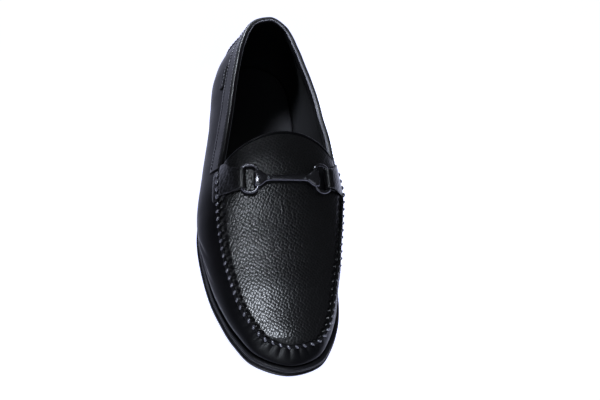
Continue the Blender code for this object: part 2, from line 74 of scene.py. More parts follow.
# Plan of the sole's edge: how far it stands from the long axis on each side
OUTLINE = (
    (9.0, 21.0, 22.0),
    (26.0, 31.5, 31.5),
    (55.0, 36.5, 35.0),
    (95.0, 40.0, 35.5),
    (135.0, 45.0, 38.5),
    (175.0, 49.5, 45.0),
    (210.0, 45.5, 51.0),
    (238.0, 38.0, 48.4),
    (260.0, 29.0, 40.2),
    (277.0, 18.0, 28.2),
)

# Heights of the outsole: its underside, then the seat that carries the upper
SOLE_COLUMNS = ("station", "underside", "seat")
SOLE = (
    (0.0, 12.0, 20.5),
    (70.0, 11.0, 19.5),
    (118.0, 5.0, 14.5),
    (165.0, 0.6, 10.0),
    (182.0, 0.0, 9.5),
    (216.0, 0.0, 9.5),
    (245.0, 3.0, 12.0),
    (270.0, 8.5, 17.0),
    (286.0, 14.0, 21.5),
)

# The wall of the upper: inset and height of its top edge on each side, how far it swells low and high,
# and how much fuller the lateral and the medial side are
WALL_COLUMNS = ("station", "lateral", "medial", "height", "swell", "lean", "outer_bulge", "inner_bulge")
WALL_TABLE = (
    (0.0, 12.6, 12.6, 82.0, 8.0, 2.0, 0.0, 0.0),
    (10.0, 11.4, 15.3, 80.7, 8.0, 2.2, 1.1, 0.0),
    (25.0, 11.5, 14.7, 78.5, 8.0, 2.5, 3.0, 0.0),
    (42.0, 10.5, 11.5, 75.0, 7.6, 2.8, 6.4, 0.0),
    (60.0, 9.5, 6.5, 71.0, 7.0, 3.0, 8.5, 0.0),
    (95.0, 7.5, -0.9, 65.5, 6.0, 3.0, 8.5, 0.0),
    (125.0, 6.5, -3.9, 61.5, 6.0, 4.0, 8.3, 0.0),
    (152.0, 5.5, -4.0, 58.0, 7.0, 5.5, 6.7, 0.0),
    (175.0, 7.0, -0.6, 52.0, 7.5, 7.5, 6.0, -0.6),
    (205.0, 7.0, 8.0, 44.5, 7.5, 9.0, 3.9, -3.0),
    (235.0, 7.0, 11.3, 38.5, 7.0, 9.0, 2.4, -5.1),
    (262.0, 9.0, 9.4, 34.0, 6.0, 9.0, 0.9, -4.3),
    (286.0, 14.5, 14.5, 32.5, 5.5, 9.0, 0.0, 0.0),
)

# The apron by row, from the tongue's edge (0) to the toe (1): its crown, and how far a row bows to the heel
APRON_COLUMNS = ("row", "crown", "reach", "roundness")
APRON = (
    (0.0, 22.5, 16.0, 0.7),
    (0.15, 17.5, 10.5, 0.75),
    (0.35, 10.5, 6.0, 0.85),
    (0.6, 7.0, 1.5, 1.0),
    (0.8, 4.0, 0.0, 1.0),
    (0.95, 1.2, 0.0, 1.0),
    (1.0, 0.0, 0.0, 1.0),
)

# Heel panel: half its width at shares of its height
COUNTER_COLUMNS = ("share", "half_width")
COUNTER = ((0.0, 36.0), (0.4, 35.0), (0.65, 31.0), (0.85, 22.0), (1.0, 10.0))

# Soft creases in the wall: arc from the heel, rise, reach along and up the wall, lean, depth
CREASES = (
    (222.0, 0.45, 13.0, 1.9, 0.35, 1.3),
    (232.0, 0.36, 11.0, 1.8, 0.25, 1.1),
    (212.0, 0.56, 9.0, 1.7, 0.45, 0.9),
    (462.0, 0.45, 14.0, 1.7, -0.3, 0.35),
    (470.0, 0.55, 10.0, 1.5, -0.4, 0.25),
)

# Bit: places on the apron, then its rings, straps and bar. The rings' corners are rounder than on the solids
STRAP_ROW = 0.07
RING_ROW = 0.138
RING_ACROSS = 0.165
BAR_ROW = 0.17
BAR_HALF = 18.0
RING_HALF_WIDTH = 5.45
RING_HALF_LENGTH = 9.7
RING_CORNER = 5.0
RING_LIFT = 4.0
STRAP_TUCK = 6.0
STRAP_BASE = 22.0
STRAP_END = 14.0
BAR_LIFT = 3.4
BAR_BOW = 0.8

# Lean of the lace on the apron's seam, counted in stitches
LACE_SLANT = -0.2

# About how tall the wall is, where a share of its height stands for a length
WALL_TALL = 40.0


def linear(code):
    """Linear colour of an sRGB hex value."""
    parts = [int(code[k : k + 2], 16) / 255 for k in (1, 3, 5)]
    return tuple(c / 12.92 if c <= 0.04045 else ((c + 0.055) / 1.055) ** 2.4 for c in parts)


def setting(name, description, default, **kind):
    return bpy.props.FloatProperty(name=name, description=description, default=default, **kind)


def size_setting(name, description, default):
    """A length given in millimetres and shown in the scene's unit."""
    limits = {"min": 0.05 * MM, "soft_max": 50 * MM}
    return setting(name, description, default * MM, unit="LENGTH", precision=5, **limits)


def colour(name, description, code):
    return bpy.props.FloatVectorProperty(
        name=name, description=description, subtype="COLOR", size=3, min=0.0, max=1.0, default=linear(code)
    )


class LoaferSizes(bpy.types.PropertyGroup):
    """Sizes of the loafer's leather and metal."""

    leather: size_setting("Leather", "Thickness of the upper's leather with its lining", 2.0)
    stitches: bpy.props.IntProperty(
        name="Apron stitches", description="Hand stitches round the apron", default=56, min=20, max=90
    )
    seam: size_setting("Apron seam", "Radius of the rolled seam round the apron", 1.7)
    pucker: size_setting("Pucker", "Height of the gathers that the seam pulls into the toe", 0.6)
    thread: size_setting("Lace", "Radius of the waxed lace on the apron's seam", 0.9)
    binding: size_setting("Collar binding", "Depth of the binding on the outside of the collar", 10.5)
    stitch_pitch: size_setting("Machine stitch", "Distance between machine stitches", 2.9)
    ring_wire: size_setting("Ring wire", "Radius of the bit's rings", 1.3)
    bar_radius: size_setting("Bar", "Radius of the bit's bar", 2.3)
    strap: size_setting("Strap", "Thickness of the straps that hold the rings", 1.4)
    grain: size_setting("Pebble", "Width of one pebble of the apron's grain", 1.85)


class LoaferColours(bpy.types.PropertyGroup):
    """Colours of the loafer's materials."""

    calf: colour("Calf leather", "Smooth leather of the walls, collar and heel panel", "#0a0a0c")
    pebble: colour("Pebbled leather", "Grained leather of the apron and straps", "#0b0b0c")
    lining: colour("Lining", "Lining leather inside the shoe", "#09090b")
    insole: colour("Insole", "Leather of the insole", "#1e1e20")
    # The edge's light grey is a painted highlight: it draws the bright line along the collar's rim
    edge: colour("Edge", "Edge paint of the collar", "#5a5a60")
    rubber: colour("Rubber", "Moulded rubber of the sole", "#0c0c0f")
    # The lace's grey is lighter than the real black lace: a painted glint on each strand of the seam
    lace: colour("Lace", "Waxed lace of the apron's seam", "#505058")
    thread: colour("Thread", "Machine thread", "#47474d")
    bit: colour("Bit", "Black nickel of the rings and bar", "#5e5e62")
    floor: colour("Floor", "Matt top of the lit table", "#b6b8c2")


class LoaferStage(bpy.types.PropertyGroup):
    """Camera and light of the studio."""

    azimuth: setting("Azimuth", "Side the camera looks from", np.radians(-20.0), subtype="ANGLE")
    elevation: setting("Elevation", "Angle above the floor", np.radians(48.77), subtype="ANGLE")
    roll: setting("Roll", "Turn of the camera about its view", np.radians(20.38), subtype="ANGLE")
    distance: setting("Distance", "Camera to shoe", 0.8, unit="LENGTH")
    focal: setting("Focal length", "Lens on a 36 mm sensor", 66.74, unit="CAMERA")
    key: setting("Key", "Power of the overhead softbox", 0.175, unit="POWER")
    front: setting("Front", "Power of the front softbox", 4.4, unit="POWER")
    rim: setting("Rim", "Power of the lamp behind the collar", 0.17, unit="POWER")
    table: setting("Table", "Glow of the lit table", 1.3)
    fill: setting("Fill", "Strength of the room's light", 0.08)


def sizes_mm():
    """The sizes in millimetres, and the number of stitches."""
    group = bpy.context.scene.loafer_sizes
    lengths = {name: getattr(group, name) / MM for name in group.__annotations__ if name != "stitches"}
    return SimpleNamespace(stitches=group.stitches, **lengths)


def through(stations, values, at):
    """Values at the given stations, on a smooth curve through the rows that never overshoots them."""
    x, y = np.asarray(stations, float), np.asarray(values, float)
    step = np.diff(x)
    rise = np.diff(y) / step
    slope = np.zeros_like(y)
    slope[0], slope[-1] = rise[0], rise[-1]
    before, after = rise[:-1], rise[1:]
    same = before * after > 0
    slope[1:-1][same] = 2 * (before * after)[same] / (before + after)[same]
    at = np.clip(np.asarray(at, float), x[0], x[-1])
    k = np.clip(np.searchsorted(x, at, side="right") - 1, 0, len(x) - 2)
    t = (at - x[k]) / step[k]
    start, end = y[k] + t * step[k] * slope[k], y[k + 1] - (1 - t) * step[k] * slope[k + 1]
    ease = t * t * (3 - 2 * t)
    return start * (1 - ease) + end * ease


def column(table, columns, name, at):
    """One named column of a table, read at the given places of its first column."""
    rows = np.array(table)
    return through(rows[:, 0], rows[:, columns.index(name)], at)


def unit(vectors):
    return vectors / np.linalg.norm(vectors, axis=-1, keepdims=True)


def run_along(line):
    """Lengths run along a line of points."""
    return np.concatenate([[0.0], np.cumsum(np.linalg.norm(np.diff(line, axis=0), axis=1))])


def read_at(places, stops, values):
    """Rows of values read at places between their stops."""
    return np.stack([np.interp(places, stops, part) for part in values.T], -1)


def read_along(share, rows):
    """Columns of evenly spaced rows, read at shares of the way along them."""
    return read_at(share, np.linspace(0, 1, len(rows)), np.asarray(rows)).T


def smooth_loop(points, steps=40):
    """A closed curve through the points, round by centripetal tangents."""
    p = np.asarray(points, float)
    before, after, beyond = np.roll(p, 1, 0), np.roll(p, -1, 0), np.roll(p, -2, 0)
    chord = np.sqrt(np.linalg.norm(after - p, axis=1))[:, None]
    last, following = np.roll(chord, 1, 0), np.roll(chord, -1, 0)
    leave = ((after - p) / chord - (after - before) / (last + chord) + (p - before) / last) * chord
    arrive = (beyond - after) / following - (beyond - p) / (chord + following) + (after - p) / chord
    arrive *= chord
    t = np.linspace(0, 1, steps, endpoint=False)[None, :, None]
    curve = (
        (2 * t**3 - 3 * t**2 + 1) * p[:, None]
        + (t**3 - 2 * t**2 + t) * leave[:, None]
        + (3 * t**2 - 2 * t**3) * after[:, None]
        + (t**3 - t**2) * arrive[:, None]
    )
    return curve.reshape(-1, 2)


def sole_plan():
    """Arc lengths, points and inward directions of the sole's edge, from the heel round the lateral side."""
    rows = np.array(OUTLINE)
    lateral = np.stack([-rows[:, 1], LENGTH / 2 - rows[:, 0]], 1)
    medial = np.stack([rows[:, 2], LENGTH / 2 - rows[:, 0]], 1)[::-1]
    heel, toe = [(0.0, LENGTH / 2)], [(TOE_OFFSET, -LENGTH / 2)]
    curve = smooth_loop(np.concatenate([heel, lateral, toe, medial]))
    curve[:, 0] -= (curve[:, 0].min() + curve[:, 0].max()) / 2 + SIDE_SHIFT
    tangent = np.roll(curve, -1, 0) - np.roll(curve, 1, 0)
    tangent /= np.linalg.norm(tangent, axis=1)[:, None]
    inward = np.stack([-tangent[:, 1], tangent[:, 0]], 1)
    closed = np.concatenate([curve, curve[:1]])
    return run_along(closed), closed, np.concatenate([inward, inward[:1]])


def station(point):
    return LENGTH / 2 - point[..., 1]


PLAN_ARC, PLAN_POINTS, PLAN_INWARD = sole_plan()
AROUND = PLAN_ARC[-1]
TIP = PLAN_ARC[PLAN_POINTS[:, 1].argmin()]
THROAT_LATERAL = PLAN_ARC[np.flatnonzero(station(PLAN_POINTS) > THROAT_STATION_LATERAL)[0]]
THROAT_MEDIAL = PLAN_ARC[np.flatnonzero(station(PLAN_POINTS) > THROAT_STATION_MEDIAL)[-1]]
ROWS_LONG = TIP - THROAT_LATERAL


def plan(arc):
    """Points of the sole's edge and their inward directions at the given arc lengths."""
    arc = np.mod(arc, AROUND)
    return read_at(arc, PLAN_ARC, PLAN_POINTS), unit(read_at(arc, PLAN_ARC, PLAN_INWARD))


def even_arc(u):
    """Arc of a share of the way round the shoe, with 0.5 at the toe."""
    return np.where(u < 0.5, 2 * u * TIP, TIP + (2 * u - 1) * (AROUND - TIP))


def on_sole(arc, inset, share, lift=0.0):
    """Points above the plan, inset from its edge, at a share of the outsole's thickness."""
    point, inward = plan(arc)
    at = station(point)
    underside = np.maximum(column(SOLE, SOLE_COLUMNS, "underside", at), 0.0)
    seat = column(SOLE, SOLE_COLUMNS, "seat", at)
    flat = point + inward * np.asarray(inset)[..., None]
    return np.concatenate([flat, (underside + (seat - underside) * share + lift)[..., None]], -1)


def wall(arc, rise):
    """Outer face of the upper's wall: rise runs from 0 at the seat to 1 at the collar or the apron's seam."""
    arc, rise = np.broadcast_arrays(np.asarray(arc, float), np.asarray(rise, float))
    point, inward = plan(arc)
    at = station(point)
    seat = column(SOLE, SOLE_COLUMNS, "seat", at)
    lateral = np.mod(arc, AROUND) < TIP
    outer, inner, height, swell, lean, out_full, in_full = (
        column(WALL_TABLE, WALL_COLUMNS, name, at) for name in WALL_COLUMNS[1:]
    )
    side, fuller = np.where(lateral, outer, inner), np.where(lateral, out_full, in_full)
    foot = seat + WELT_THICK + 2 * GAP
    reach = HANDLE * (height - foot)
    t = np.clip((rise - FOOT_SHARE) / (1 - FOOT_SHARE), 0, 1)
    a, b, c, d = (1 - t) ** 3, 3 * t * (1 - t) ** 2, 3 * t**2 * (1 - t), t**3
    inset = a * FOOT_INSET + b * (FOOT_INSET - swell - fuller) + c * (side - lean - fuller) + d * side
    z = a * foot + b * (foot + reach) + c * (height - reach) + d * height
    z = np.where(rise < FOOT_SHARE, seat + GAP + (foot - seat - GAP) * rise / FOOT_SHARE, z)
    return np.concatenate([point + inward * inset[..., None], z[..., None]], -1)


def seam_arcs(row):
    """Arc lengths of a row's two ends on the apron's seam."""
    row = np.asarray(row, float)
    return THROAT_LATERAL + row * ROWS_LONG, THROAT_MEDIAL - row * (THROAT_MEDIAL - TIP)


def seam_row(arc):
    """The apron's row at an arc of its seam, below 0 behind the throat."""
    arc = np.mod(arc, AROUND)
    lateral, medial = (arc - THROAT_LATERAL) / ROWS_LONG, (THROAT_MEDIAL - arc) / (THROAT_MEDIAL - TIP)
    return np.where(arc < TIP, lateral, medial)


def seam_line():
    """The apron's seam from its lateral end to its medial one: arcs and the lengths run along it."""
    arcs = np.linspace(THROAT_LATERAL, THROAT_MEDIAL, 600)
    return arcs, run_along(wall(arcs, 1.0))


SEAM_ARC, SEAM_RUN = seam_line()


def stitch_arc(phase, count):
    """Arc of a place on the apron's seam, counted in stitches from the lateral end of it."""
    return np.interp(phase / count * SEAM_RUN[-1], SEAM_RUN, SEAM_ARC)


def stitch_phase(arc, count):
    """Stitches counted along the apron's seam from its lateral end to an arc."""
    return np.interp(arc, SEAM_ARC, SEAM_RUN) / SEAM_RUN[-1] * count


def apron(row, across):
    """Outer face of the apron and tongue: across runs from 0 at the lateral seam to 1 at the medial one."""
    row, across = np.broadcast_arrays(np.asarray(row, float), np.asarray(across, float))
    lateral, medial = seam_arcs(row)
    hump = np.clip(1 - (2 * across - 1) ** 2, 0, 1)
    crown, reach, roundness = (column(APRON, APRON_COLUMNS, name, row) for name in APRON_COLUMNS[1:])
    point = wall(lateral, 1.0) * (1 - across)[..., None] + wall(medial, 1.0) * across[..., None]
    bow = np.stack([np.zeros_like(hump), reach * hump**0.8, crown * hump**roundness], -1)
    return point + bow


def face_frame(face, first, second, steps):
    """The two tangents and the outward normal of a face at the given places."""
    near = [face(first + a * steps[0], second + b * steps[1]) for a, b in ((-1, 0), (1, 0), (0, -1), (0, 1))]
    along, over = unit(near[1] - near[0]), unit(near[3] - near[2])
    return along, over, unit(np.cross(along, over))


def wall_frame(arc, rise):
    """Points of the wall with their tangents and normals, which are taken just inside its edges."""
    return wall(arc, rise), *face_frame(wall, arc, np.clip(rise, FOOT_SHARE + 0.01, 0.99), (0.5, 0.01))


def apron_frame(row, across):
    """Points of the apron with their tangents and normals, which are taken just inside its edges."""
    inside = np.clip(row, 0.004, 0.99), np.clip(across, 0.012, 0.988)
    return apron(row, across), *face_frame(apron, *inside, (0.004, 0.01))


def rise_below(arc, distance):
    """The rise at distances below the wall's top edge, measured down the wall."""
    arc, distance = np.broadcast_arrays(np.asarray(arc, float), np.asarray(distance, float))
    rises = np.linspace(1, FOOT_SHARE, 60)
    result = np.empty(arc.shape)
    for value in np.unique(arc):
        run = run_along(wall(np.full(60, value), rises))
        result[arc == value] = np.interp(distance[arc == value], run, rises)
    return result


def across_at(row, distance, from_medial):
    """The across value at a distance from one seam, measured over the apron."""
    shares = np.linspace(1, 0, 80) if from_medial else np.linspace(0, 1, 80)
    return np.interp(distance, run_along(apron(np.full(80, row), shares)), shares)


def eased(t):
    """Smooth step from 0 to 1."""
    t = np.clip(t, 0, 1)
    return t * t * (3 - 2 * t)


def blunt(wave, power):
    """A sine or cosine, squared off by a power of at most 1."""
    return np.sign(wave) * np.abs(wave) ** power


def rounded(t):
    """Quarter circle from 0 to 1."""
    return np.sqrt(1 - (1 - np.clip(t, 0, 1)) ** 2)


def lobes(phase, sharpness):
    """Rounded swellings between stitches, with a sharp nip at each stitch."""
    return np.abs(np.sin(np.pi * phase)) ** sharpness


def add_grid(bm, place, columns, rows):
    """Adds a flat grid and moves its points to place(u, v), with u and v from 0 to 1."""
    made = bmesh.ops.create_grid(bm, x_segments=columns, y_segments=rows, size=0.5)["verts"]
    flat = np.array([v.co for v in made]) + 0.5
    for vert, point in zip(made, place(flat[:, 0], flat[:, 1])):
        vert.co = point * MM
    return made


def piece(name, bm, materials, node=None, closed=True):
    """Welds and closes a bmesh, and makes it a piece of the shoe."""
    bmesh.ops.remove_doubles(bm, verts=bm.verts, dist=1e-6)
    bmesh.ops.dissolve_degenerate(bm, dist=1e-7, edges=bm.edges)
    if closed:
        edges = [e for e in bm.edges if e.is_boundary]
        if edges:
            bmesh.ops.holes_fill(bm, edges=edges)
        bmesh.ops.recalc_face_normals(bm, faces=bm.faces)
    mesh = bpy.data.meshes.new(name)
    bm.to_mesh(mesh)
    bm.free()
    for material in materials:
        mesh.materials.append(material)
    mesh.shade_smooth()
    mesh.set_sharp_from_angle(angle=np.radians(50))
    made = bpy.data.objects.new(name, mesh)
    bpy.context.scene.collection.objects.link(made)
    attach(made, "root")
    if node:
        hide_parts(node)
    return made


def grid_piece(name, place, columns, rows, materials, node=None, closed=True):
    bm = bmesh.new()
    add_grid(bm, place, columns, rows)
    return piece(name, bm, materials, node, closed)


def give_thickness(made, thickness):
    """Thickens a sheet inwards and lines its inside with its second material."""
    thick = made.modifiers.new("Lined leather", "SOLIDIFY")
    thick.thickness = thickness * MM
    thick.offset = -1.0
    thick.material_offset = 1
    thick.material_offset_rim = 0


def pillow(u, v, profile, ring):
    """A closed form of rings along a profile, whose two ends are drawn in to the long axis."""
    stops = np.linspace(0, 1, len(profile) + 2)
    columns = [np.interp(v, stops[1:-1], part) for part in np.transpose(profile)]
    to_axis = np.maximum(1 - v / stops[1], (v - stops[-2]) / (1 - stops[-2]))
    to_axis = np.clip(to_axis, 0, 1)[:, None] * 0.5
    return ring(u, *columns) * (1 - to_axis) + ring(1 - u, *columns) * to_axis


def sweep(path, side, lift, outline):
    """Places for a grid: outline gives distances along side and lift, round each point of a path."""
    stops = np.linspace(0, 1, len(path))

    def place(u, v):
        out, up = outline(u, v)
        middle, aside, above = (read_at(v, stops, rows) for rows in (path, side, lift))
        return middle + aside * out[:, None] + above * up[:, None]

    return place


def add_stitch(bm, centre, along, up, length, radius):
    """A short strand of thread pulled down at both ends."""
    side = np.cross(up, along)
    turn = Matrix((along, side, up)).transposed().to_4x4()
    shape = Matrix.Diagonal((length / 2 * MM, radius * MM, radius * 0.8 * MM, 1.0))
    bmesh.ops.create_icosphere(
        bm, subdivisions=2, radius=1.0, matrix=Matrix.Translation(Vector(centre * MM)) @ turn @ shape
    )


def stitch_line(bm, points, normals, pitch, length, radius):
    """Even machine stitches along a line of points."""
    run = run_along(points)
    count = max(int(run[-1] / pitch), 1)
    for place in (np.arange(count) + 0.5) * run[-1] / count:
        along = unit(read_at(place + 0.4, run, points) - read_at(place - 0.4, run, points))
        up = read_at(place, run, normals)
        up = unit(up - along * np.dot(up, along))
        add_stitch(bm, read_at(place, run, points), Vector(along), Vector(up), length, radius)


def add_node(tree, kind, links=(), values=(), into=None, **settings):
    """Adds a shader node with its settings, values and links. Its first output may lead into a socket."""
    node = tree.nodes.new(kind)
    for name, value in settings.items():
        setattr(node, name, value)
    for socket, value in dict(values).items():
        node.inputs[socket].default_value = value
    for socket, source in dict(links).items():
        tree.links.new(source, node.inputs[socket])
    if into is not None:
        tree.links.new(node.outputs[0], into)
    return node


def new_material(name, base, roughness, **constants):
    """A material with its shader's constants set: also its tree, the shader's sockets and the coordinates."""
    made = bpy.data.materials.new(name)
    made.use_nodes = True
    tree = made.node_tree
    sockets = tree.nodes["Principled BSDF"].inputs
    sockets["Base Color"].default_value = (*base, 1.0)
    sockets["Roughness"].default_value = roughness
    for socket, value in constants.items():
        sockets[socket.replace("_", " ")].default_value = value
    return made, tree, sockets, add_node(tree, "ShaderNodeTexCoord").outputs["Object"]


def mottle(tree, sockets, where, size, detail, rough=0.5, gloss=None, relief=None):
    """Noise of a size in millimetres that varies a surface's gloss, or raises it by a strength and height."""
    noise = add_node(
        tree, "ShaderNodeTexNoise", {"Vector": where},
        {"Scale": 1 / (size * MM), "Detail": detail, "Roughness": rough},
    ).outputs["Fac"]
    if gloss:
        # Most of the noise lies between 0.3 and 0.7
        limits = {"From Min": 0.3, "From Max": 0.7, "To Min": gloss[0], "To Max": gloss[1]}
        add_node(tree, "ShaderNodeMapRange", {"Value": noise}, limits, sockets["Roughness"])
    if relief:
        height = {"Strength": relief[0], "Distance": relief[1] * MM}
        return add_node(tree, "ShaderNodeBump", {"Height": noise}, height, sockets["Normal"])


def calf_leather(name, base, specular):
    """Drum-dyed calf, plated smooth and waxed: fine pores and a satin gloss that varies with handling."""
    made, tree, sockets, where = new_material(name, base, 0.4, IOR=1.45, Specular_IOR_Level=specular)
    # Pores are finer on real calf, and are drawn 0.9 mm apart so that they show
    pores = add_node(
        tree, "ShaderNodeTexVoronoi", {"Vector": where}, {"Scale": 1 / (0.9 * MM)}, feature="SMOOTH_F1"
    )
    # The pores lie on a soft relief about 18 mm wide, and both lead into the shader as one
    soft = mottle(tree, sockets, where, 18, 4.0, 0.6, gloss=(0.34, 0.46), relief=(0.25, 0.6))
    add_node(
        tree, "ShaderNodeBump", {"Height": pores.outputs["Distance"], "Normal": soft.outputs["Normal"]},
        {"Strength": 0.12, "Distance": 0.12 * MM}, sockets["Normal"],
    )
    return made


def tumbled_leather(name, base, grain):
    """Tumbled full-grain leather: swollen pebbles with dark creases between them, each with its own glint."""
    made, tree, sockets, where = new_material(name, base, 0.3, IOR=1.45, Specular_IOR_Level=0.5)
    wander = add_node(tree, "ShaderNodeTexNoise", {"Vector": where}, {"Scale": 1 / (5 * MM), "Detail": 1.0})
    moved = add_node(
        tree, "ShaderNodeVectorMath", {0: wander.outputs["Color"], 2: where},
        {1: (0.4 * MM, 0.4 * MM, 0.0)}, operation="MULTIPLY_ADD",
    )
    # Pebbles about a sixth longer than wide, along the shoe, in rows that lie aslant
    drawn = add_node(
        tree, "ShaderNodeMapping", {"Vector": moved.outputs["Vector"]},
        {"Scale": (1.0, 0.85, 1.0), "Rotation": (0.0, 0.0, np.radians(27.0))},
    )
    cells = add_node(
        tree, "ShaderNodeTexVoronoi", {"Vector": drawn.outputs["Vector"]},
        {"Scale": 1 / (grain * MM), "Randomness": 0.5}, voronoi_dimensions="2D",
    )
    from_middle = cells.outputs["Distance"]
    dome = add_node(tree, "ShaderNodeMath", {0: from_middle, 1: from_middle}, operation="MULTIPLY")
    add_node(
        tree, "ShaderNodeMapRange", {"Value": from_middle},
        {"From Max": 0.7, "To Min": 0.26, "To Max": 0.38}, sockets["Roughness"],
    )
    # A pebble stands about a tenth of a millimetre above the creases round it
    add_node(
        tree, "ShaderNodeBump", {"Height": dome.outputs["Value"]},
        {"Strength": 1.0, "Distance": 0.28 * MM}, sockets["Normal"], invert=True,
    )
    return made


def edge_paint(name, base):
    """Edge paint on the collar's cut edge, in a light grey that paints one thin bright highlight line along the
    rim, under a hard gloss.
    """
    made, tree, sockets, where = new_material(name, base, 0.16, IOR=1.6)
    mottle(tree, sockets, where, 4, 2.0, gloss=(0.12, 0.2))
    return made


def lining_leather(name, base, roughness):
    """Sheepskin lining, dyed through and left matt, with a soft nap."""
    made, tree, sockets, where = new_material(name, base, roughness, IOR=1.45, Specular_IOR_Level=0.15)
    # The nap is finer on real sheepskin, and is drawn 1.2 mm wide so that it shows
    mottle(tree, sockets, where, 1.2, 5.0, 0.65, relief=(0.3, 0.2))
    return made


def moulded_rubber(name, base):
    """Compression-moulded rubber: a satin skin with the faint blasted texture of its mould."""
    made, tree, sockets, where = new_material(name, base, 0.45, IOR=1.5, Specular_IOR_Level=0.22)
    # The blasting is finer on a real mould, and is drawn 0.8 mm wide so that it shows
    mottle(tree, sockets, where, 0.8, 4.0, 0.6, relief=(0.18, 0.1))
    # Scuffs about 12 mm wide
    mottle(tree, sockets, where, 12, 3.0, gloss=(0.38, 0.54))
    return made


def waxed_lace(name, base):
    """Flat leather lace drawn through wax: glossy strands with a fine grain, coloured a lighter grey than the
    lace's own black so that each strand carries a painted glint.
    """
    made, tree, sockets, where = new_material(name, base, 0.2, IOR=1.9)
    mottle(tree, sockets, where, 0.5, 1.0, relief=(0.2, 0.08))
    return made


def machine_thread(name, base):
    """Bonded polyester thread: dull dark grey strands with a visible twist."""
    made, tree, sockets, where = new_material(name, base, 0.5, IOR=1.5)
    # The twist is finer on real thread. The wave draws 20 / (2 pi) bands to a unit, here one every 1.2 mm
    twist = add_node(
        tree, "ShaderNodeTexWave", {"Vector": where}, {"Scale": 1 / (0.6 * MM * 2 * np.pi), "Distortion": 2.0}
    )
    add_node(
        tree, "ShaderNodeBump", {"Height": twist.outputs["Fac"]},
        {"Strength": 0.4, "Distance": 0.1 * MM}, sockets["Normal"],
    )
    return made


def black_nickel(name, base):
    """Die-cast zinc under black nickel plating: a dark mirror with polishing marks that soften it."""
    made, tree, sockets, where = new_material(name, base, 0.2, Metallic=1.0)
    mottle(tree, sockets, where, 3, 4.0, 0.6, gloss=(0.14, 0.28))
    return made


def looks():
    """The shoe's materials, made once."""
    colours = bpy.context.scene.loafer_colours
    makers = {
        "calf_leather": (calf_leather, colours.calf, 0.1),
        "binding_leather": (calf_leather, colours.calf, 0.45),
        "tumbled_leather": (tumbled_leather, colours.pebble, sizes_mm().grain),
        "lining_leather": (lining_leather, colours.lining, 0.75),
        "insole_leather": (lining_leather, colours.insole, 0.55),
        "edge_paint": (edge_paint, colours.edge),
        "moulded_rubber": (moulded_rubber, colours.rubber),
        "waxed_lace": (waxed_lace, colours.lace),
        "machine_thread": (machine_thread, colours.thread),
        "black_nickel": (black_nickel, colours.bit),
    }
    return {
        name: bpy.data.materials.get(name) or make(name, *given) for name, (make, *given) in makers.items()
    }


class LOAFER_OT_sole(bpy.types.Operator):
    """Outsole with its rounded edge and groove, the heel block and the welt"""

    bl_idname = "loafer.sole"
    bl_label = "Sole"

    def execute(self, context):
        rubber = [looks()["moulded_rubber"]]
        # Inset from the sole's edge and share of its thickness, from the underside past the groove up
        side = (
            (8.0, 0.0), (5.6, 0.03), (4.2, 0.1), (2.8, 0.2), (1.8, 0.32), (1.0, 0.44), (0.5, 0.56),
            (0.25, 0.66), (0.3, 0.74), (0.7, 0.77), (1.6, 0.785), (1.9, 0.82), (1.9, 0.87), (1.5, 0.9),
            (0.95, 0.92), (0.9, 0.96), (1.3, 1.0), (6.0, 1.0),
        )

        def edge_ring(u, inset, share):
            return on_sole(even_arc(u), inset, share)

        def outsole(u, v):
            return pillow(u, v, side, edge_ring)

        grid_piece("outsole_rubber", outsole, 340, 60, rubber, "outsole")
        point, _ = plan(PLAN_ARC)
        back = PLAN_ARC[station(point) < HEEL_BREAST]
        corners = back[back < TIP].max(), back[back > TIP].min()
        # Each corner of the heel's front lies this share of the way round, and the front bows by this much
        corner_share, front_bow = 0.38, 1.0
        # Inset from the sole's edge and share of the block's height, from the floor up
        block = (
            (9.0, 0.0), (4.6, 0.0), (3.4, 0.04), (2.9, 0.12), (2.4, 0.5), (2.2, 0.9), (2.6, 1.0), (9.0, 1.0)
        )

        def heel_ring(u, inset, share):
            from_back = np.minimum(u, 1 - u) / corner_share
            arc = np.where(u < 0.5, from_back * corners[0], AROUND - from_back * (AROUND - corners[1]))
            first, last = (on_sole(np.full(len(u), corner), inset, 0.0, -GAP) for corner in corners)
            t = np.clip((u - corner_share) / (1 - 2 * corner_share), 0, 1)[:, None]
            front = first * (1 - t) + last * t + np.array((0.0, front_bow, 0.0)) * 4 * t * (1 - t)
            in_front = (u > corner_share) & (u < 1 - corner_share)
            points = np.where(in_front[:, None], front, on_sole(arc, inset, 0.0, -GAP))
            points[:, 2] *= share
            return points

        def heel(u, v):
            return pillow(u, v, block, heel_ring)

        grid_piece("heel_rubber", heel, 200, 36, rubber, "heel")
        inner, low, high = FOOT_INSET - 2 * GAP, GAP, GAP + WELT_THICK
        # Inset from the sole's edge and height above the seat, once round the welt
        section = (
            (inner, low), (3.0, low), (1.6, low), (1.1, low + 0.3), (0.9, low + 0.9), (0.95, low + 1.5),
            (1.5, low + 1.75), (1.5, low + 1.95), (1.05, low + 2.2), (1.1, low + 2.7), (1.5, high - 0.1),
            (2.1, high), (3.2, high - 0.15), (4.2, high - 0.5), (inner, high - 0.9), (inner, low + 0.6),
            (inner, low),
        )

        def welt(u, v):
            inset, lift = read_along(v, section)
            return on_sole(u * AROUND, inset, 1.0, lift)

        grid_piece("welt_rubber", welt, 340, 48, rubber, "welt")
        return {"FINISHED"}


class LOAFER_OT_insole(bpy.types.Operator):
    """Padded insole with a soft edge"""

    bl_idname = "loafer.insole"
    bl_label = "Insole"

    def execute(self, context):
        # Inset from the sole's edge and height above the seat
        pad = (
            (9.5, GAP), (8.2, GAP), (8.2, 1.4), (8.3, 2.2), (8.8, 2.8), (9.8, 3.1), (12.0, 3.2), (18.0, 2.9),
            (26.0, 2.7),
        )

        def pad_ring(u, inset, lift):
            return on_sole(even_arc(u), inset, 1.0, lift)

        def insole(u, v):
            return pillow(u, v, pad, pad_ring)

        grid_piece("insole_pad", insole, 260, 44, [looks()["insole_leather"]], "insole")
        return {"FINISHED"}


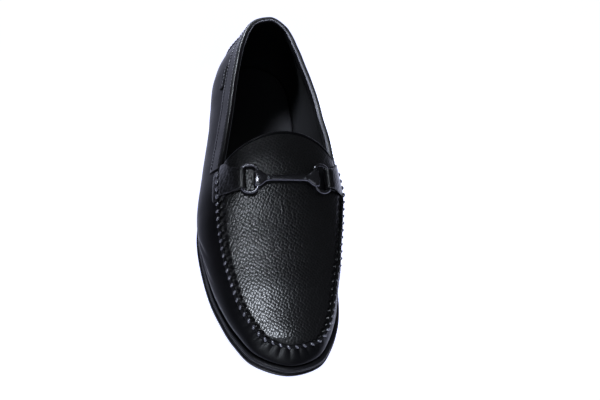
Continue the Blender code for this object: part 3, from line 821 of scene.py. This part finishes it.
class LOAFER_OT_upper(bpy.types.Operator):
    """Wall of the upper with its gathers, the apron with its tongue, and the tongue's rolled edge"""

    bl_idname = "loafer.upper"
    bl_label = "Upper"

    def execute(self, context):
        sizes, made = sizes_mm(), looks()
        calf, pebble, lining = made["calf_leather"], made["tumbled_leather"], made["lining_leather"]

        def wall_skin(u, v):
            arc = u * AROUND
            point, _, _, normal = wall_frame(arc, v)
            row = seam_row(arc)
            height = point[:, 2] - wall(arc, 0.0)[:, 2]
            drop = wall(arc, 1.0)[:, 2] - point[:, 2]
            # The gathers are deepest round the toe and fade out at the straps
            toe = eased((row - 0.35) / 0.35)
            depth = sizes.pucker * (0.3 + 0.7 * toe) * eased(row / 0.12)
            phase = stitch_phase(arc, sizes.stitches) + LACE_SLANT
            gather = depth * (lobes(phase, 0.9) - 0.55) * (1 - eased((drop - 0.4) / (1.8 + 2.0 * toe)))
            crease = np.zeros_like(arc)
            for at, rise, reach, narrow, lean, deep in CREASES:
                along, up = arc - at, (v - rise) * WALL_TALL
                across = up - lean * along
                crease -= deep * np.exp(-((along / reach) ** 2) - (across / narrow) ** 2)
            # Creases fade out over the lowest 8 mm
            crease *= np.clip(height / 8.0, 0, 1)
            return point + normal * (gather + crease)[:, None]

        shell = grid_piece(
            "wall_leather", wall_skin, 680, 40, [calf, lining], "upper", closed=False
        )
        give_thickness(shell, sizes.leather)

        def apron_skin(row, across):
            point, _, _, normal = apron_frame(row, across)
            width = np.linalg.norm(apron(row, np.ones_like(row)) - apron(row, np.zeros_like(row)), axis=1)
            edge = np.minimum(across, 1 - across) * width
            arc = np.where(across < 0.5, seam_arcs(row)[0], seam_arcs(row)[1])
            phase = stitch_phase(arc, sizes.stitches)
            inner = eased((1 - row) / 0.05)
            # The lace draws a pit 2 mm deep into the leather at each stitch, 2 mm in from the seam
            nearest = (np.mod(phase + 0.75, 1.0) - 0.5) * SEAM_RUN[-1] / sizes.stitches
            pit = -2.0 * np.exp(-((nearest / 1.4) ** 2) - ((edge - 2.0) / 1.1) ** 2) * eased(row / 0.04)
            dip = -0.6 * np.exp(-((edge / 1.7) ** 2))
            return point + normal * ((pit + dip) * inner)[:, None]

        vamp = grid_piece(
            "apron_leather", apron_skin, 260, 120, [pebble, lining], "upper", closed=False
        )
        give_thickness(vamp, sizes.leather)
        shares = np.linspace(0.02, 0.98, 90)
        point, toward_toe, _, normal = apron_frame(np.zeros(90), shares)
        ends = 0.35 + 0.65 * eased(np.minimum(shares, 1 - shares) / 0.08)

        def roll(u, v):
            turn = 2 * np.pi * u
            thick = np.interp(v, np.linspace(0, 1, 90), ends)
            return 1.5 * thick * np.cos(turn), 1.15 * thick * np.sin(turn) - 0.7

        edge = sweep(point + toward_toe * 0.9, -toward_toe, normal, roll)
        grid_piece("tongue_edge", edge, 20, 160, [calf])
        return {"FINISHED"}


class LOAFER_OT_apron_seam(bpy.types.Operator):
    """Rolled seam round the apron with a strand of waxed lace at each stitch"""

    bl_idname = "loafer.apron_seam"
    bl_label = "Apron seam"

    def execute(self, context):
        sizes, made = sizes_mm(), looks()
        count, lift = sizes.stitches, 0.2

        def frame_at(arc):
            edge, along, _, out = wall_frame(arc, np.ones_like(arc))
            row = np.clip(seam_row(arc), 0.0, 0.99)
            medial = np.mod(arc, AROUND) > TIP
            _, _, _, up = apron_frame(row, np.where(medial, 0.96, 0.04))
            crest = unit(out + up)
            side = unit(np.cross(along, crest))
            return edge, along, crest, side

        def outward(crest, side, turn):
            """Directions round the roll, which is a tenth wider than tall."""
            return crest * np.cos(turn)[:, None] + side * 1.1 * np.sin(turn)[:, None]

        def roll(u, v):
            phase, turn = 0.02 + u * (count - 0.04), 2 * np.pi * v
            edge, _, crest, side = frame_at(stitch_arc(phase, count))
            bead = lobes(phase + LACE_SLANT * np.sin(turn), 0.8)
            r = (sizes.seam * (0.55 + 0.1 * bead))[:, None]
            return edge + crest * lift + r * outward(crest, side, turn)

        grid_piece("seam_roll", roll, 672, 20, [made["lining_leather"]], "apron_seam")
        bm = bmesh.new()
        for k in range(1, count):

            def strand(u, v):
                # A strand lies over the roll, from 48 degrees on one side of its crest to 38 on the other
                turn = np.radians(-48 + 86 * v)
                phase = np.clip(k - LACE_SLANT * np.sin(turn), 0.1, count - 0.1)
                edge, along, crest, side = frame_at(stitch_arc(phase, count))
                out = outward(crest, side, turn)
                round_it = 2 * np.pi * u
                # The lace is thicker where it also holds a strap
                thick = sizes.thread * (1.55 if min(k, count - k) < 5 else 1.0)
                thin = thick * np.sin(np.pi * (0.1 + 0.8 * v)) ** 0.8
                flat = out * np.cos(round_it)[:, None] * 0.9 + along * np.sin(round_it)[:, None] * 1.25
                return edge + crest * lift + out * sizes.seam * 0.85 + flat * thin[:, None]

            add_grid(bm, strand, 14, 16)
        # The strands' light grey paints a glint at each stitch
        piece("seam_lace", bm, [made["waxed_lace"]])
        return {"FINISHED"}


class LOAFER_OT_collar(bpy.types.Operator):
    """Binding folded over the collar, with two lines of machine stitches"""

    bl_idname = "loafer.collar"
    bl_label = "Collar"

    def execute(self, context):
        sizes, made = sizes_mm(), looks()
        deep, inside, skin = sizes.binding, 7.0, 0.6
        outer, inner, top = GAP + skin, -(sizes.leather + 2 * GAP + skin), GAP + skin
        back, middle = -(sizes.leather + 2 * GAP), -sizes.leather / 2
        # Distance below the collar's edge and height off the wall, from outside over the edge to inside
        section = (
            (deep, 0.0), (deep - 0.1, 0.3), (deep - 0.5, outer - 0.3), (deep - 1.5, outer - 0.15),
            (7.0, outer), (4.0, outer + 0.1), (1.6, outer + 0.15), (0.3, outer - 0.1),
            (-0.6 * top, 0.55 * outer), (-0.95 * top, 0.0), (-1.08 * top, middle), (-0.95 * top, 2 * middle),
            (-0.6 * top, inner + 0.75), (0.3, inner + 0.1), (2.0, inner), (inside - 0.6, inner),
            (inside, inner + 0.5), (inside, back), (2.0, back), (-GAP, middle), (4.0, 0.0), (deep, 0.0),
        )
        start, end = THROAT_MEDIAL + 1.0, AROUND + THROAT_LATERAL - 1.0

        def binding(u, v):
            arc = start + u * (end - start)
            drop, out = read_along(v, section)
            from_end = np.minimum(arc - start, end - arc)
            out = np.where(out < 0, np.maximum(out, -1.0 - 0.4 * from_end), out)
            point, _, upward, normal = wall_frame(arc, rise_below(arc, np.maximum(drop, 0)))
            return point + normal * out[:, None] - upward * np.minimum(drop, 0)[:, None]

        grid_piece("collar_binding", binding, 220, 64, [made["binding_leather"]], "collar")

        radius = 0.6

        # A light grey bead along the collar's inner edge, whose colour paints the rim's highlight line
        def bead(u, v):
            arc, turn = start + u * (end - start), 2 * np.pi * v
            from_end = np.minimum(arc - start, end - arc)
            lies = np.maximum(inner + 0.7, -0.6 - 0.4 * from_end)
            # The bead stands proud on the medial side and sinks into the binding behind the heel, so that its
            # painted highlight line shows on the medial rim only
            lift = 0.1 + 0.45 * eased((AROUND + 25.0 - arc) / 40.0)
            point, _, upward, normal = wall_frame(arc, np.ones_like(arc))
            out, up = lies + radius * np.cos(turn), lift + radius * np.sin(turn)
            return point + normal * out[:, None] + upward * up[:, None]

        grid_piece("collar_bead_painted_highlight", bead, 320, 16, [made["edge_paint"]])
        bm = bmesh.new()
        arcs = np.linspace(start + 2.0, end - 2.0, 240)
        for drop in (2.2, deep - 1.8):
            point, _, _, normal = wall_frame(arcs, rise_below(arcs, np.full(240, drop)))
            stitch_line(bm, point + normal * (outer + 0.15), normal, sizes.stitch_pitch, 2.2, 0.45)
        piece("collar_stitches", bm, [made["machine_thread"]])
        return {"FINISHED"}


class LOAFER_OT_heel_panel(bpy.types.Operator):
    """Panel round the back of the heel with a double row of stitches along its curved edge"""

    bl_idname = "loafer.heel_panel"
    bl_label = "Heel panel"

    def execute(self, context):
        sizes, made = sizes_mm(), looks()
        low, lift, thick = FOOT_SHARE + 0.01, 0.05, 1.25
        grid_arcs = np.linspace(AROUND - 60, AROUND + 60, 121)
        grid_rises = rise_below(grid_arcs, np.full(121, sizes.binding - 0.5))

        def spread(share, inset=0.0):
            return column(COUNTER, COUNTER_COLUMNS, "half_width", share) - inset

        def place(u, v):
            outside = v < 0.5
            share = np.where(outside, 2 * v, 2 - 2 * v)
            across = 2 * u - 1
            half = spread(share)
            arc = AROUND + across * half
            edge = np.minimum((1 - np.abs(across)) * half, WALL_TALL * share)
            height = np.where(outside, -GAP + (lift + thick + GAP) * rounded(edge / 1.2), -GAP)
            top = np.interp(np.round(arc, 1), grid_arcs, grid_rises)
            point, _, _, normal = wall_frame(arc, low + (top - low) * share)
            return point + normal * height[:, None]

        grid_piece("counter_panel", place, 96, 96, [made["calf_leather"]], "counter")
        bm = bmesh.new()
        share = np.linspace(0.02, 0.97, 60)
        for inset in (2.2, 9.0):
            for side in (-1, 1):
                arc = AROUND + side * spread(share, inset)
                rise = low + (np.interp(arc, grid_arcs, grid_rises) - low) * share
                point, _, _, normal = wall_frame(arc, rise)
                stitch_line(bm, point + normal * (lift + thick + 0.05), normal, sizes.stitch_pitch, 2.3, 0.42)
        piece("counter_stitches", bm, [made["machine_thread"]])
        return {"FINISHED"}


class LOAFER_OT_side_tab(bpy.types.Operator):
    """Folded tab sewn in under the collar on the lateral side"""

    bl_idname = "loafer.side_tab"
    bl_label = "Side tab"

    def execute(self, context):
        sizes, made = sizes_mm(), looks()
        point, _ = plan(PLAN_ARC)
        back_end, length, half, thick = 49.0, 21.0, 2.3, 0.8
        begin = PLAN_ARC[np.flatnonzero(station(point) > back_end)[0]]

        def place(u, v):
            turn = 2 * np.pi * v
            shrink = rounded((1 - np.abs(2 * u - 1)) * length / 2 / 1.4)
            arc = begin + length * u
            drop = sizes.binding + 0.1 + half + half * blunt(np.cos(turn), 0.4) * (0.55 + 0.45 * shrink)
            height = 0.2 + thick / 2 + thick / 2 * blunt(np.sin(turn), 0.3) * shrink
            on, _, _, normal = wall_frame(arc, rise_below(np.round(arc, 2), np.maximum(drop, 0)))
            return on + normal * height[:, None]

        grid_piece("side_tab_leather", place, 60, 28, [made["calf_leather"]], "side_tab")
        bm = bmesh.new()
        arcs = begin + np.linspace(1.5, length - 1.5, 30)
        on, _, _, normal = wall_frame(arcs, rise_below(arcs, np.full(30, sizes.binding + 1.6)))
        stitch_line(bm, on + normal * (thick + 0.2), normal, sizes.stitch_pitch, 2.2, 0.4)
        piece("side_tab_stitches", bm, [made["machine_thread"]])
        return {"FINISHED"}


def ring_frame(from_medial):
    """Middle of a ring's outer side, and directions to the bit's bar, along the shoe and off the apron."""
    ends = apron(np.full(2, BAR_ROW), np.array((0.3, 0.7)))
    line = unit(ends[1] - ends[0])
    crest, _, _, up = apron_frame(BAR_ROW, 0.5)
    aim = crest + up * BAR_LIFT + line * (BAR_HALF if from_medial else -BAR_HALF)
    point, _, _, normal = apron_frame(RING_ROW, 1 - RING_ACROSS if from_medial else RING_ACROSS)
    outer = point + normal * RING_LIFT
    towards = unit(aim - outer)
    along = unit(np.cross(normal, towards))
    return outer, towards, along, np.cross(towards, along)


class LOAFER_OT_bit(bpy.types.Operator):
    """Two rings and the bar between them"""

    bl_idname = "loafer.bit"
    bl_label = "Bit"

    def execute(self, context):
        sizes, nickel = sizes_mm(), [looks()["black_nickel"]]
        corner = np.array((RING_HALF_WIDTH, RING_HALF_LENGTH)) - RING_CORNER
        line = []
        for quarter, (x, y) in enumerate(((1, -1), (1, 1), (-1, 1), (-1, -1))):
            turn = np.radians(-90 + 90 * quarter + np.linspace(0, 90, 13))
            line.append(corner * (x, y) + RING_CORNER * np.stack([np.cos(turn), np.sin(turn)], 1))
        line = np.concatenate(line + [line[0][:1]])
        heading = unit(np.gradient(line, axis=0))
        heading[[0, -1]] = unit(heading[0] + heading[-1])
        outward = np.stack([heading[:, 1], -heading[:, 0]], 1)
        ends = []
        for from_medial, name in ((False, "ring_lateral"), (True, "ring_medial")):
            origin, towards, along, normal = ring_frame(from_medial)
            middle = origin + towards * RING_HALF_WIDTH
            path = middle + np.outer(line[:, 0], towards) + np.outer(line[:, 1], along)
            out = np.outer(outward[:, 0], towards) + np.outer(outward[:, 1], along)

            def wire(u, v):
                turn = 2 * np.pi * u
                return sizes.ring_wire * np.cos(turn), sizes.ring_wire * np.sin(turn)

            lift = np.tile(normal, (len(path), 1))
            grid_piece(name + "_metal", sweep(path, out, lift, wire), 20, 104, nickel, name)
            ends.append((origin + towards * 2 * RING_HALF_WIDTH, towards, normal))
        (near, into, near_out), (far, from_far, far_out) = ends
        t = np.linspace(0, 1, 61)[:, None]
        _, _, _, up = apron_frame(BAR_ROW, 0.5)
        path = near * (1 - t) + far * t + up * BAR_BOW * 4 * t * (1 - t)
        # The bar's ends reach past the rings, and flare out over their last 10 mm behind a small collar
        past_ring, end_wide, end_thick = 2.7, 6.2, 2.5
        reach = np.linspace(1, 0, 9)[:-1, None] * past_ring
        path = np.concatenate([near - into * reach, path, (far - from_far * reach)[::-1]])
        run = run_along(path)
        lift = near_out * (1 - (run / run[-1])[:, None]) + far_out * (run / run[-1])[:, None]
        forward = unit(np.gradient(path, axis=0))
        side = unit(np.cross(lift, forward))
        top = np.cross(forward, side)
        from_end = np.minimum(run, run[-1] - run)
        flare = 1 - eased((from_end - 3.2) / 7.0)
        collar = 0.35 * np.exp(-(((from_end - 10.4) / 0.7) ** 2))
        tip = np.maximum(rounded(from_end / 1.6), np.sqrt(0.02))
        wide = (sizes.bar_radius + (end_wide - sizes.bar_radius) * flare + collar) * (0.75 + 0.25 * tip)
        thick = (sizes.bar_radius + (end_thick - sizes.bar_radius) * flare + collar) * tip
        sections = np.stack([wide, thick, 1 - 0.45 * flare], 1)

        def rod(u, v):
            turn = 2 * np.pi * u
            half_width, half_height, power = read_along(v, sections)
            return half_width * blunt(np.cos(turn), power), half_height * np.sin(turn)

        grid_piece("bit_bar_metal", sweep(path, side, top, rod), 28, 152, nickel, "bit_bar")
        return {"FINISHED"}


class LOAFER_OT_straps(bpy.types.Operator):
    """Straps from the apron's seam that fold round the rings, with their feet on the wall"""

    bl_idname = "loafer.straps"
    bl_label = "Straps"

    def execute(self, context):
        sizes, made = sizes_mm(), looks()
        for from_medial, name in ((False, "strap_lateral"), (True, "strap_medial")):
            self.strap(sizes, made["tumbled_leather"], from_medial, name)
        return {"FINISHED"}

    def strap(self, sizes, leather, from_medial, name):
        origin, towards, along, normal = ring_frame(from_medial)
        begin = 1.2
        seat = 1 - RING_ACROSS if from_medial else RING_ACROSS
        base = across_at(STRAP_ROW, begin, from_medial)
        length = np.linalg.norm(apron(STRAP_ROW, base) - apron(RING_ROW, seat))
        turn_radius = sizes.ring_wire + GAP + sizes.strap / 2 - 0.1
        top, bottom = RING_LIFT + turn_radius, RING_LIFT - turn_radius
        t, low = np.linspace(0, 1, 16)[:-1], 0.9
        out = np.stack([length * t, low + (top - low) * eased(t) ** 1.5 + 0.3 * np.sin(np.pi * t)], 1)
        turns = np.radians(np.linspace(90, -90, 15))
        fold = np.stack([length + turn_radius * np.cos(turns), RING_LIFT + turn_radius * np.sin(turns)], 1)
        tuck = np.stack([np.linspace(length - 1, length - STRAP_TUCK, 5), np.full(5, bottom)], 1)
        path = np.concatenate([out, fold, tuck])
        heading = unit(np.gradient(path, axis=0))
        face = np.stack([-heading[:, 1], heading[:, 0]], 1)
        rows = np.linspace(0, 0.3, 31)
        edges = np.array([across_at(row, begin, from_medial) for row in rows])

        def place(u, v):
            share = 2 * v - 1
            outside = u < 0.5
            s = np.where(outside, 2 * u, 2 - 2 * u)
            share = blunt(np.sin(share * np.pi / 2), 0.8)
            to_edge = np.clip((np.abs(share) - 0.9) / 0.1, 0, 1)
            round_edge = np.sqrt(1 - to_edge**2) * rounded(s / 0.03)
            offset = sizes.strap / 2 * np.where(outside, round_edge, -round_edge)
            distance, height = read_along(s, path) + offset * read_along(s, face)
            near = np.clip(distance / length, 0, 1)
            width = share / 2 * (STRAP_BASE + (STRAP_END - STRAP_BASE) * eased(near))
            aside = width / ROWS_LONG * np.sign(along[1])
            row = np.clip(STRAP_ROW + (RING_ROW - STRAP_ROW) * near - aside, 0.0, 1.0)
            first = np.interp(row, rows, edges)
            on, _, _, up = apron_frame(row, first + (seat - base) * near)
            # The fold follows the ring round its corners
            straight = RING_HALF_LENGTH - RING_CORNER
            past = np.clip(np.abs(width), straight, STRAP_END / 2) - straight
            bow = RING_CORNER - np.sqrt(RING_CORNER**2 - past**2)
            level = (
                np.outer(distance - length + bow, towards)
                + np.outer(width, along)
                + np.outer(height - RING_LIFT, normal)
            )
            to_ring = eased(distance / (length - STRAP_TUCK))[:, None]
            return (on + up * height[:, None]) * (1 - to_ring) + (origin + level) * to_ring

        bm = bmesh.new()
        add_grid(bm, place, 120, 26)
        lateral_arc, medial_arc = seam_arcs(0.0)

        def foot(u, v):
            """The strap's foot on the wall under the seam, 23 mm long and 4.8 mm tall."""
            turn = 2 * np.pi * v
            along_foot = 1.0 + 23.0 * u
            arc = medial_arc - along_foot if from_medial else lateral_arc + along_foot
            ends = np.sqrt(np.clip(1 - np.abs(2 * u - 1) ** 8, 0.04, 1))
            drop = 2.6 + 2.4 * blunt(np.cos(turn), 0.5) * (0.4 + 0.6 * ends)
            height = 0.45 + 0.55 * blunt(np.sin(turn), 0.7) * ends
            on, _, _, up = wall_frame(arc, rise_below(np.round(arc, 2), np.maximum(drop, 0)))
            return on + up * height[:, None]

        add_grid(bm, foot, 40, 20)
        piece(name + "_leather", bm, [leather], name)


class LOAFER_OT_stage(bpy.types.Operator):
    """Lit table, softboxes, room light and the camera"""

    bl_idname = "loafer.stage"
    bl_label = "Stage"

    def execute(self, context):
        scene, stage = context.scene, context.scene.loafer_stage
        bm = bmesh.new()
        bmesh.ops.create_grid(bm, x_segments=8, y_segments=8, size=4.0)
        mesh = bpy.data.meshes.new("floor")
        bm.to_mesh(mesh)
        bm.free()
        top, tree, sockets, where = new_material(
            "lit_table", scene.loafer_colours.floor, 0.9, IOR=1.3, Emission_Color=(0.73, 0.76, 1.0, 1.0),
            Emission_Strength=stage.table,
        )
        # Frosting of the table's top, grains about 2 mm wide
        mottle(tree, sockets, where, 2, 3.0, relief=(0.05, 0.1))
        mesh.materials.append(top)
        floor = bpy.data.objects.new("floor", mesh)
        scene.collection.objects.link(floor)
        world = bpy.data.worlds.new("Room")
        world.use_nodes = True
        room = world.node_tree.nodes["Background"]
        room.inputs["Color"].default_value = (0.86, 0.9, 1.0, 1.0)
        room.inputs["Strength"].default_value = stage.fill
        scene.world = world
        self.softbox(scene, "key", (-0.15, -0.2, 0.7), (-0.01, -0.17, 0.04), (0.14, 0.11), 30.0, stage.key)
        self.softbox(scene, "rim", (-0.14, 0.3, 0.33), (0.035, 0.095, 0.072), (0.1, 0.1), 22.0, stage.rim)
        self.softbox(scene, "front", (-0.3, -1.3, 1.1), (0.0, -0.08, 0.04), (1.6, 1.0), 180.0, stage.front)
        self.camera(scene, stage)
        scene.view_settings.view_transform = "Standard"
        return {"FINISHED"}

    def softbox(self, scene, name, place, aim, size, spread, power):
        """A softbox at a place, aimed at a point, with its size in metres and its spread in degrees."""
        data = bpy.data.lights.new(name, "AREA")
        data.shape, data.size, data.size_y, data.energy = "RECTANGLE", size[0], size[1], power
        data.color, data.spread = (0.84, 0.9, 1.0), np.radians(spread)
        lamp = bpy.data.objects.new(name, data)
        lamp.location = place
        lamp.rotation_euler = (Vector(aim) - Vector(place)).to_track_quat("-Z", "Y").to_euler()
        scene.collection.objects.link(lamp)

    def camera(self, scene, stage):
        """Camera at the photograph's angle to the shoe, rolled and aimed a little off the shoe's middle."""
        a, e, roll = stage.azimuth, stage.elevation, stage.roll
        back = Vector((np.sin(a) * np.cos(e), -np.cos(a) * np.cos(e), np.sin(e)))
        level = Vector((np.cos(a), np.sin(a), 0.0))
        upright = back.cross(level)
        right = level * np.cos(roll) + upright * np.sin(roll)
        up = upright * np.cos(roll) - level * np.sin(roll)
        target = Vector((0.00078, 0.0, 0.04))
        place = target + back * stage.distance
        # The shoe's middle lies left of and above the image's middle by these shares of the focal length
        ahead = (-back + right * 0.0266 - up * 0.0128).normalized()
        right = (right - ahead * right.dot(ahead)).normalized()
        data = bpy.data.cameras.new("camera")
        data.lens, data.sensor_width = stage.focal, 36.0
        camera = bpy.data.objects.new("camera", data)
        turn = Matrix((right, (-ahead).cross(right), -ahead)).transposed().to_4x4()
        camera.matrix_world = Matrix.Translation(place) @ turn
        scene.collection.objects.link(camera)
        scene.camera = camera


class LOAFER_PT_panel(bpy.types.Panel):
    """Lists the loafer's pieces, sizes, colours and stage"""

    bl_label = "Bit Loafer"
    bl_idname = "LOAFER_PT_panel"
    bl_space_type = "VIEW_3D"
    bl_region_type = "UI"
    bl_category = "Loafer"

    def draw(self, context):
        for operator in PIECES:
            self.layout.operator(operator.bl_idname)
        for group in (context.scene.loafer_sizes, context.scene.loafer_colours, context.scene.loafer_stage):
            box = self.layout.box()
            for name in group.__annotations__:
                box.prop(group, name)


PIECES = (
    LOAFER_OT_stage,
    LOAFER_OT_sole,
    LOAFER_OT_insole,
    LOAFER_OT_upper,
    LOAFER_OT_apron_seam,
    LOAFER_OT_collar,
    LOAFER_OT_heel_panel,
    LOAFER_OT_side_tab,
    LOAFER_OT_bit,
    LOAFER_OT_straps,
)
CLASSES = (LoaferSizes, LoaferColours, LoaferStage, *PIECES, LOAFER_PT_panel)


def register():
    for cls in CLASSES:
        bpy.utils.register_class(cls)
    bpy.types.Scene.loafer_sizes = bpy.props.PointerProperty(type=LoaferSizes)
    bpy.types.Scene.loafer_colours = bpy.props.PointerProperty(type=LoaferColours)
    bpy.types.Scene.loafer_stage = bpy.props.PointerProperty(type=LoaferStage)


def unregister():
    del bpy.types.Scene.loafer_sizes, bpy.types.Scene.loafer_colours, bpy.types.Scene.loafer_stage
    for cls in reversed(CLASSES):
        bpy.utils.unregister_class(cls)


def main():
    register()
    for operator in PIECES:
        group, name = operator.bl_idname.split(".")
        getattr(getattr(bpy.ops, group), name)()


if __name__ == "__main__":
    main()
